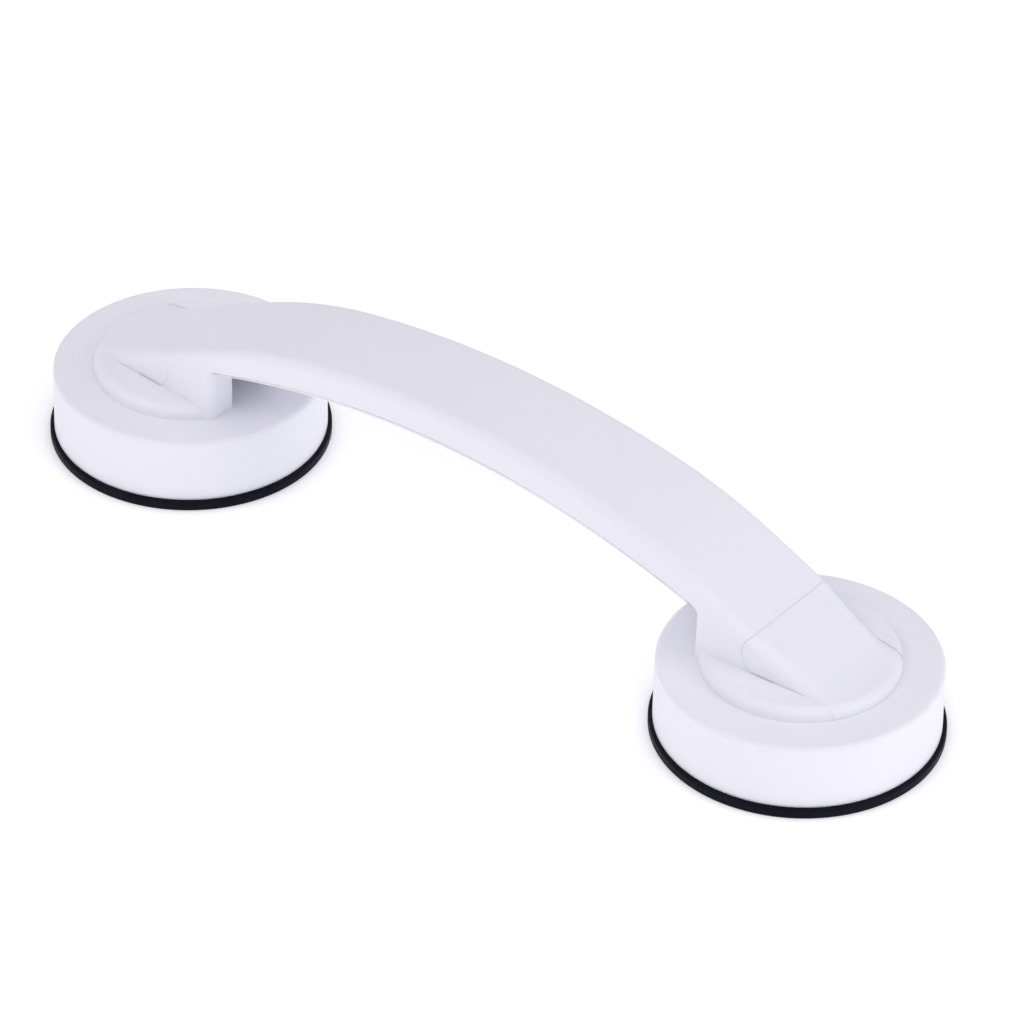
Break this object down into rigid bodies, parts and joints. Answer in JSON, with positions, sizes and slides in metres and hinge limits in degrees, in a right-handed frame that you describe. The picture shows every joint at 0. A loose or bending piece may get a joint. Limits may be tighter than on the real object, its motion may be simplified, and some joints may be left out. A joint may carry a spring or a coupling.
{
  "type": "suction grab bar",
  "caption": "Arched white grab bar on two round suction bases, each locked by a flip lever that forms the tip of the arch.",
  "frame": {"origin": "midway between the two bases, on the plane that the rubber lips rest on", "axes": "+X along the bar to the right base, +Y across the bar, +Z away from the wall"},
  "size_m": [0.294, 0.08, 0.0605],
  "materials": {
    "shell_plastic": "satin moulded white ABS",
    "inner_plastic": "matt moulded acetal",
    "cup_rubber": "smooth black rubber",
    "steel": "bright zinc-plated steel",
    "spring_steel": "drawn spring wire"
  },
  "bodies": {
    "grip": {"grip_shell": "shell_plastic", "grip_cover": "shell_plastic", "grip_screws": "steel", "left_housing": "shell_plastic", "left_suction_cup": "cup_rubber", "left_return_spring": "spring_steel", "left_lever_pin": "steel", "left_foot_screws": "steel", "right_housing": "shell_plastic", "right_suction_cup": "cup_rubber", "right_return_spring": "spring_steel", "right_lever_pin": "steel", "right_foot_screws": "steel"},
    "left_plunger_group": {"left_plunger": "inner_plastic", "left_cup_insert": "inner_plastic", "left_cross_pin": "steel"},
    "left_lever_group": {"left_cam_lever": "inner_plastic", "left_lever_cap": "shell_plastic"},
    "right_plunger_group": {"right_plunger": "inner_plastic", "right_cup_insert": "inner_plastic", "right_cross_pin": "steel"},
    "right_lever_group": {"right_cam_lever": "inner_plastic", "right_lever_cap": "shell_plastic"}
  },
  "joints": [
    {"name": "left_lever_flip", "type": "hinge", "parent": "grip", "child": "left_lever_group", "pos_m": [-0.107, 0, 0.0315], "axis": [0, 1, 0], "range_deg": [0, 85]},
    {"name": "left_plunger_lift", "type": "slide", "parent": "grip", "child": "left_plunger_group", "axis": [0, 0, 1], "range_m": [-0.0025, 0], "deforming": ["left_return_spring", "left_suction_cup"]},
    {"name": "right_lever_flip", "type": "hinge", "parent": "grip", "child": "right_lever_group", "pos_m": [0.107, 0, 0.0315], "axis": [0, -1, 0], "range_deg": [0, 85]},
    {"name": "right_plunger_lift", "type": "slide", "parent": "grip", "child": "right_plunger_group", "axis": [0, 0, 1], "range_m": [-0.0025, 0], "deforming": ["right_return_spring", "right_suction_cup"]}
  ],
  "couplings": [
    {"joint": "left_plunger_lift", "follows": "left_lever_flip", "m_per_rad": -0.001685},
    {"joint": "right_plunger_lift", "follows": "right_lever_flip", "m_per_rad": -0.001685}
  ]
}
